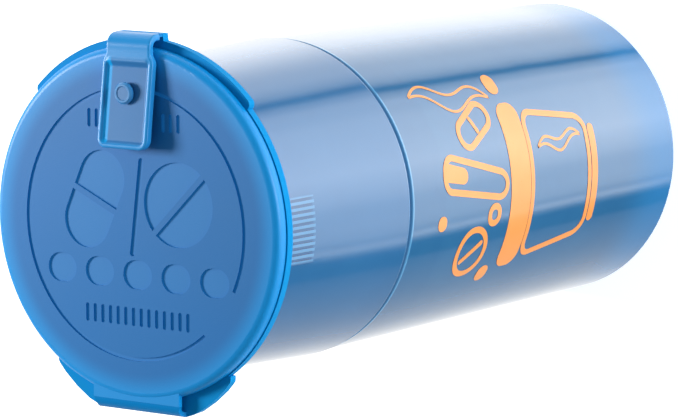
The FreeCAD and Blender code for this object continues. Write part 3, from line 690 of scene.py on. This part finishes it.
class PILLCRUSHER_OT_latch(bpy.types.Operator):
    """Build the hasp: a plate with a raised rounded edge, and a neck that bends over the lid's edge"""

    bl_idname = "pill_crusher.latch"
    bl_label = "Latch"

    # The grid that the hasp is bent from. Its rows crowd at the round tip, and its columns at the two edges.
    rows = 110
    tip_rows = 14
    columns = 64
    crowding = 1.6
    under_edge = 0.2 * MM

    def half_width(self, along):
        """Half the width at that distance from the plate's root. The neck's are below zero."""
        sizes = self.sizes
        if along > sizes.length - sizes.corner:
            into = min(along - sizes.length + sizes.corner, sizes.corner)
            return sizes.half_width - sizes.corner + math.sqrt(sizes.corner**2 - into**2)
        return sizes.neck + (sizes.half_width - sizes.neck) * smooth(along, -1.1 * MM, 0.4 * MM)

    def inset(self, x, along):
        """Distance from the outline."""
        sizes = self.sizes
        past_x = abs(x) - sizes.half_width + sizes.corner
        past_tip = along - sizes.length + sizes.corner
        if past_x > 0 and past_tip > 0:
            return max(sizes.corner - math.hypot(past_x, past_tip), 0)
        return min(self.half_width(along) - abs(x), sizes.length - along)

    def rounding(self, inset, radius):
        """How far a rounded edge has dropped at that distance from the outline."""
        left = max(radius - inset, 0)
        return radius - math.sqrt(max(radius**2 - left**2, 0))

    def relief(self, x, along):
        """Height of the upper side over the lower one."""
        sizes = self.sizes
        inset = self.inset(x, along)
        full = sizes.strap + (sizes.thickness - sizes.strap) * smooth(along, -self.straight, 0)
        inside = smooth(inset, sizes.border * 0.62, sizes.border * 1.2)
        open_end = smooth(along, 0.1 * MM, 1.0 * MM)
        ridge = 0.1 * MM * smooth(along, -0.5 * MM, 0) * (1 - smooth(along, 0.1 * MM, 0.5 * MM))
        return full + ridge * inside - sizes.recess * inside * open_end - self.rounding(inset, sizes.edge)

    def place(self, along, height):
        """(y, z) of a point at that height over the lower side."""
        sizes = self.sizes
        if along >= 0:
            rise = along * math.sin(sizes.tilt)
            y = along * math.cos(sizes.tilt) - sizes.root
            return y, self.under + rise + height / math.cos(sizes.tilt)
        if along >= -self.straight:
            part = along / -self.straight
            return along - sizes.root, self.under + (self.bend_top - self.under) * part + height
        turned = (-self.straight - along) / self.bend_radius
        reach = sizes.bend + height
        if turned <= math.pi / 2:
            return self.bend_y - reach * math.sin(turned), self.bend_z + reach * math.cos(turned)
        return self.bend_y - reach, self.bend_z - (turned - math.pi / 2) * self.bend_radius

    def execute(self, context):
        self.sizes = sizes = context.scene.pill_latch
        low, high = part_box("latch_tab")
        self.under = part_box("lid")[1].z + sizes.lift
        self.bend_y = low.y + sizes.bend + sizes.strap
        self.bend_top = self.under + 0.12 * MM
        self.bend_z = self.bend_top - sizes.bend
        self.bend_radius = sizes.bend + sizes.strap / 2
        self.straight = abs(self.bend_y + sizes.root)
        start = -self.straight - self.bend_radius * math.pi / 2 - (self.bend_z - low.z)
        bm = bmesh.new()
        bmesh.ops.create_grid(bm, x_segments=self.columns, y_segments=self.rows, size=1)
        body_part = 1 - self.tip_rows / self.rows
        for vert in bm.verts:
            part = (vert.co.y + 1) / 2
            if part <= body_part:
                along = start + (sizes.length - sizes.corner - start) * part / body_part
            else:
                into = (part - body_part) / (1 - body_part)
                along = sizes.length - sizes.corner * (1 - math.sin(into * math.pi / 2))
            across = 1 - (1 - abs(vert.co.x)) ** self.crowding
            vert.co = (math.copysign(across, vert.co.x) * self.half_width(along), along, 0)
        self.cut_hole(bm)
        result = bmesh.ops.extrude_face_region(bm, geom=list(bm.faces))
        upper = set(verts_of(result))
        for vert in bm.verts:
            x, along = vert.co.x, vert.co.y
            if vert in upper:
                height = self.relief(x, along)
            else:
                height = self.rounding(self.inset(x, along), self.under_edge)
            vert.co = (x, *self.place(along, height))
        close_up(bm)
        piece = make_piece(bm, "latch", latch_finish(sizes, high.y / MM), 60)
        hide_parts("latch_tab")
        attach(piece, "latch")
        return {"FINISHED"}

    def cut_hole(self, bm):
        """Opens the stud's hole and rounds it."""
        stud_low, stud_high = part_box("latch_stud")
        stud_y = (stud_low.y + stud_high.y) / 2
        centre = Vector((0, (stud_y + self.sizes.root) / math.cos(self.sizes.tilt), 0))
        radius = self.sizes.hole
        inner = [face for face in bm.faces if (face.calc_center_median() - centre).length < radius]
        bmesh.ops.delete(bm, geom=inner, context="FACES")
        for vert in bm.verts:
            offset = vert.co - centre
            if vert.is_boundary and offset.length < radius * 1.3:
                vert.co = centre + offset.normalized() * radius


class PILLCRUSHER_OT_print(bpy.types.Operator):
    """Build the one-colour print on the vial: a mortar and pestle with tablets"""

    bl_idname = "pill_crusher.print"
    bl_label = "Print"

    def finish_shape(self, bm, verts, place, turn, line):
        """Turns and moves a flat shape. With a line width it keeps only a line inside the shape's edge."""
        bmesh.ops.rotate(bm, verts=verts, matrix=Matrix.Rotation(math.radians(turn), 3, "Z"))
        bmesh.ops.translate(bm, verts=verts, vec=(place[0] * MM, place[1] * MM, 0))
        if line:
            faces = list({face for vert in verts for face in vert.link_faces})
            bmesh.ops.inset_region(bm, faces=faces, thickness=line, use_even_offset=True, use_boundary=True)
            bmesh.ops.delete(bm, geom=faces, context="FACES")

    def rounded(self, bm, half, radius, taper, place, turn, line):
        """A rectangle with round corners, wider or narrower towards its top."""
        made = bmesh.ops.create_circle(bm, cap_ends=True, segments=40, radius=radius * MM)
        verts = made["verts"]
        half_step = Matrix.Rotation(math.radians(4.5), 3, "Z")
        bmesh.ops.rotate(bm, verts=verts, matrix=half_step)
        for vert in verts:
            x = math.copysign((half[0] - radius) * MM, vert.co.x) + vert.co.x
            y = math.copysign((half[1] - radius) * MM, vert.co.y) + vert.co.y
            vert.co = (x * (1 + taper * y / half[1] / MM), y, 0)
        self.finish_shape(bm, verts, place, turn, line)

    def ribbon(self, bm, length, half_width, sway, waves, place, turn, line):
        """A wavy outline that closes to a point at both ends."""
        made = bmesh.ops.create_grid(bm, x_segments=2, y_segments=48, size=1)
        for vert in made["verts"]:
            along = (vert.co.y + 1) / 2
            half = half_width * math.sin(math.pi * along) ** 0.8 + 0.25
            centre = sway * math.sin(waves * math.tau * along)
            vert.co = ((centre + vert.co.x * half) * MM, length * along * MM, 0)
        self.finish_shape(bm, made["verts"], place, turn, line)

    def execute(self, context):
        sizes = context.scene.pill_print
        widths = {"solid": 0, "heavy": sizes.line, "fine": sizes.fine_line}
        bm = bmesh.new()
        for half, radius, taper, place, turn, look in PRINTED_SHAPES:
            self.rounded(bm, half, radius, taper, place, turn, widths[look])
        for length, half_width, sway, waves, place, turn in PRINTED_RIBBONS:
            self.ribbon(bm, length, half_width, sway, waves, place, turn, sizes.fine_line)
        edge = max(abs(vert.co.x) for vert in bm.verts)
        last = int(edge / sizes.slice_width)
        for step in range(-last, last + 1):
            whole = [*bm.verts, *bm.edges, *bm.faces]
            across = (step * sizes.slice_width, 0, 0)
            bmesh.ops.bisect_plane(bm, geom=whole, plane_co=across, plane_no=(1, 0, 0))
        for vert in bm.verts:
            part = vert.co.y / sizes.wall_height
            radius = sizes.wall_foot + (sizes.wall_mouth - sizes.wall_foot) * part + sizes.gap
            turn = math.pi + vert.co.x / radius
            vert.co = (radius * math.cos(turn), radius * math.sin(turn), vert.co.y)
        result = bmesh.ops.extrude_face_region(bm, geom=list(bm.faces))
        grow = 1 + sizes.ink_height / sizes.wall_mouth
        bmesh.ops.scale(bm, verts=verts_of(result), vec=(grow, grow, 1))
        close_up(bm)
        piece = make_piece(bm, "print", ink_finish(), 30)
        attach(piece, "vial")
        return {"FINISHED"}


# The flat drawing, in millimetres and degrees. x runs round the wall and y up it.
# (half width and height, corner radius, widening towards the top, place, turn, look)
PRINTED_SHAPES = [
    ((11.4, 9.2), 3.2, 0.12, (0, 36.6), 0, "heavy"),
    ((13.8, 2.9), 2.4, 0, (0.2, 48.8), 0, "solid"),
    ((8.2, 0.9), 0.85, 0, (0, 26.3), 0, "solid"),
    ((2.9, 9.4), 2.7, 0.16, (2.6, 61.6), -12, "heavy"),
    ((1.4, 3.4), 1.3, 0.1, (4, 67.4), -12, "solid"),
    ((2.7, 5.6), 2.65, 0, (11.2, 59.2), 26, "heavy"),
    ((1.6, 0.4), 0.35, 0, (11.2, 59.2), 26, "solid"),
    ((4.4, 4.4), 4.3, 0, (-9.4, 61), 0, "heavy"),
    ((0.45, 3.1), 0.4, 0, (-9.4, 61), 32, "solid"),
    ((1.9, 1.9), 1.8, 0, (-3.6, 56.2), 0, "heavy"),
    ((1.2, 1.2), 1.1, 0, (-3.4, 71.2), 0, "solid"),
    ((1.5, 1.5), 1.4, 0, (-14.2, 54.6), 0, "solid"),
    ((1.9, 1.6), 1.5, 0, (17.6, 49.2), 0, "solid"),
]
# (length, half width, sway, waves, place, turn)
PRINTED_RIBBONS = [
    (21, 1.5, 1.1, 1.5, (15.4, 51.6), -6),
    (13, 0.9, 0.7, 1.5, (6.8, 29.8), 4),
]


class PILLCRUSHER_OT_stage(bpy.types.Operator):
    """Set the floor, the light and the camera"""

    bl_idname = "pill_crusher.stage"
    bl_label = "Studio"

    def side(self, nodes, turn, levels):
        """Brightness along one side of the room."""
        stops = [(degrees / 360 + 0.5, level / BRIGHTEST) for degrees, level in levels]
        return nodes.add("ValToRGB", stops=stops, Fac=turn)

    def room(self, studio):
        """Even pale light. The gloss shows a room with broad bright sides and two dark gaps."""
        world = bpy.data.worlds.new("studio")
        world.use_nodes = True
        nodes = NodeTree(world.node_tree)
        direction = nodes.add("TexCoord", output=0)
        split = nodes.tree.nodes.new("ShaderNodeSeparateXYZ")
        nodes.tree.links.new(direction.socket, split.inputs[0])
        x, y, z = (Wire(nodes.tree, socket) for socket in split.outputs)
        turn = nodes.add("Math", {"operation": "ARCTAN2"}, in0=y, in1=x) / (2 * math.pi) + 0.5
        right_side, left_side = (self.side(nodes, turn, levels) for levels in (ROOM_RIGHT, ROOM_LEFT))
        left = nodes.add("Math", {"operation": "GREATER_THAN"}, in0=turn, in1=0.5)
        walls = (right_side * (1 - left) + left_side * left) * studio.reflected
        above = nodes.rise(z, 0.0, 0.5)
        shown = walls * (1 - above) + above * studio.overhead
        path = nodes.tree.nodes.new("ShaderNodeLightPath")
        glossy = Wire(nodes.tree, path.outputs["Is Glossy Ray"])
        camera = Wire(nodes.tree, path.outputs["Is Camera Ray"])
        strength = glossy * shown + (1 - glossy) * (camera + (1 - camera) * studio.ambient)
        light = nodes.add("Background", Color=WHITE, Strength=strength)
        out = nodes.tree.nodes.new("ShaderNodeOutputWorld")
        nodes.tree.links.new(light.socket, out.inputs["Surface"])
        bpy.context.scene.world = world

    def floor(self, studio):
        bm = bmesh.new()
        bmesh.ops.create_grid(bm, x_segments=2, y_segments=2, size=studio.floor_size / 2)
        finish = Finish("pale_floor")
        cloud = finish.noise(finish.place, 60)
        colour = finish.mix(cloud, (0.93, 0.93, 0.93, 1), (0.96, 0.96, 0.96, 1))
        finish.set(
            Base_Color=colour, Roughness=0.8, Emission_Color=WHITE, Emission_Strength=studio.floor_glow
        )
        mesh = bpy.data.meshes.new("floor")
        bm.to_mesh(mesh)
        bm.free()
        mesh.materials.append(finish.material)
        piece = bpy.data.objects.new("floor", mesh)
        piece.visible_glossy = False
        bpy.context.scene.collection.objects.link(piece)

    def softbox(self, name, place, aim, width, power):
        lamp = bpy.data.lights.new(name, "AREA")
        lamp.shape = "SQUARE"
        lamp.size = width
        lamp.energy = power
        light = bpy.data.objects.new(name, lamp)
        light.location = place
        light.rotation_euler = (Vector(aim) - Vector(place)).to_track_quat("-Z", "Y").to_euler()
        bpy.context.scene.collection.objects.link(light)

    def camera(self, studio, aim):
        azimuth, elevation, roll = studio.eye_azimuth, studio.elevation, studio.roll
        back = Vector((
            math.cos(azimuth) * math.cos(elevation),
            math.sin(azimuth) * math.cos(elevation),
            math.sin(elevation),
        ))
        level_right = (-back).cross(Vector((0, 0, 1))).normalized()
        level_up = level_right.cross(-back)
        right = level_right * math.cos(roll) - level_up * math.sin(roll)
        up = level_up * math.cos(roll) + level_right * math.sin(roll)
        lens = bpy.data.cameras.new("camera")
        lens.lens = studio.lens
        lens.clip_end = 100
        camera = bpy.data.objects.new("camera", lens)
        turn = Matrix((right, up, back)).transposed().to_4x4()
        camera.matrix_world = Matrix.Translation(aim + back * studio.distance) @ turn
        bpy.context.scene.collection.objects.link(camera)
        bpy.context.scene.camera = camera

    def execute(self, context):
        studio = context.scene.pill_studio
        self.room(studio)
        self.floor(studio)
        self.softbox("key", *KEY_SOFTBOX, studio.key)
        self.softbox("fill", *FILL_SOFTBOX, studio.fill)
        self.camera(studio, Vector(CAMERA_AIM) * MM)
        context.scene.view_settings.view_transform = "Standard"
        return {"FINISHED"}


# The point that the camera looks at, in millimetres.
CAMERA_AIM = (1.49, 4.11, 61.75)
# Each softbox: (place, the point it faces, width), in metres.
KEY_SOFTBOX = ((0.282, -0.047, 0.32), (0, 0, 0.117), 0.108)
FILL_SOFTBOX = ((-0.62, -0.16, 0.09), (0, 0, 0.06), 0.3)
# Brightness of the room by direction: (degrees from +X towards +Y, level), for either side of the X axis.
BRIGHTEST = 3.2
ROOM_RIGHT = [
    (-180, 2.25), (-172, 2.65), (-166, 2.9), (-160, 3.15), (-155, 3.05), (-149, 2.9), (-143, 2.77),
    (-137, 2.6), (-131, 2.45), (-125, 2.3), (-118, 1.9), (-111, 1.75), (-107, 1.2), (-104, 0.9),
    (-101.5, 0.3), (-99.5, 0.05), (-97, 0.45), (-95, 0.87), (-91, 1.2), (-85, 1.4), (-75, 1.35),
    (-66, 1.5), (-56, 1.75), (-43, 1.88), (-30, 1.7), (-6, 1.2), (0, 1.2),
]
ROOM_LEFT = [
    (0, 1.2), (20, 1.2), (40, 1.0), (51, 0.91), (62, 0.78), (76, 0.67), (87, 0.57), (96, 0.49),
    (105, 0.42), (112, 0.37), (120, 0.3), (127, 0.2), (130, 0.03), (140, 0.04), (143, 0.44),
    (144.6, 0.91), (147, 1.6), (149.3, 1.25), (151, 1.08), (154, 1.4), (157, 1.55), (163, 1.7),
    (170, 1.77), (176, 1.93), (180, 2.25),
]


class PILLCRUSHER_PT_panel(bpy.types.Panel):
    """Lists the builders and their settings"""

    bl_idname = "PILLCRUSHER_PT_panel"
    bl_label = "Pill crusher"
    bl_space_type = "VIEW_3D"
    bl_region_type = "UI"
    bl_category = "Pill crusher"

    def draw(self, context):
        for builder in BUILDERS:
            self.layout.operator(builder.bl_idname)
        for holder, group in SETTINGS.items():
            box = self.layout.box()
            for name in group.__annotations__:
                box.prop(getattr(context.scene, holder), name)


SETTINGS = {
    "pill_colours": PlasticColours,
    "pill_hinges": HingeSizes,
    "pill_latch": LatchSizes,
    "pill_print": PrintSizes,
    "pill_studio": StudioSettings,
}
BUILDERS = [
    PILLCRUSHER_OT_vial,
    PILLCRUSHER_OT_crusher,
    PILLCRUSHER_OT_barrel,
    PILLCRUSHER_OT_lid,
    PILLCRUSHER_OT_hinges,
    PILLCRUSHER_OT_latch,
    PILLCRUSHER_OT_print,
    PILLCRUSHER_OT_stage,
]


def register():
    for kind in [*SETTINGS.values(), *BUILDERS, PILLCRUSHER_PT_panel]:
        bpy.utils.register_class(kind)
    for holder, group in SETTINGS.items():
        setattr(bpy.types.Scene, holder, bpy.props.PointerProperty(type=group))


def unregister():
    for holder in SETTINGS:
        delattr(bpy.types.Scene, holder)
    for kind in reversed([*SETTINGS.values(), *BUILDERS, PILLCRUSHER_PT_panel]):
        bpy.utils.unregister_class(kind)


def main():
    register()
    for builder in BUILDERS:
        group, name = builder.bl_idname.split(".")
        getattr(getattr(bpy.ops, group), name)()


if __name__ == "__main__":
    main()
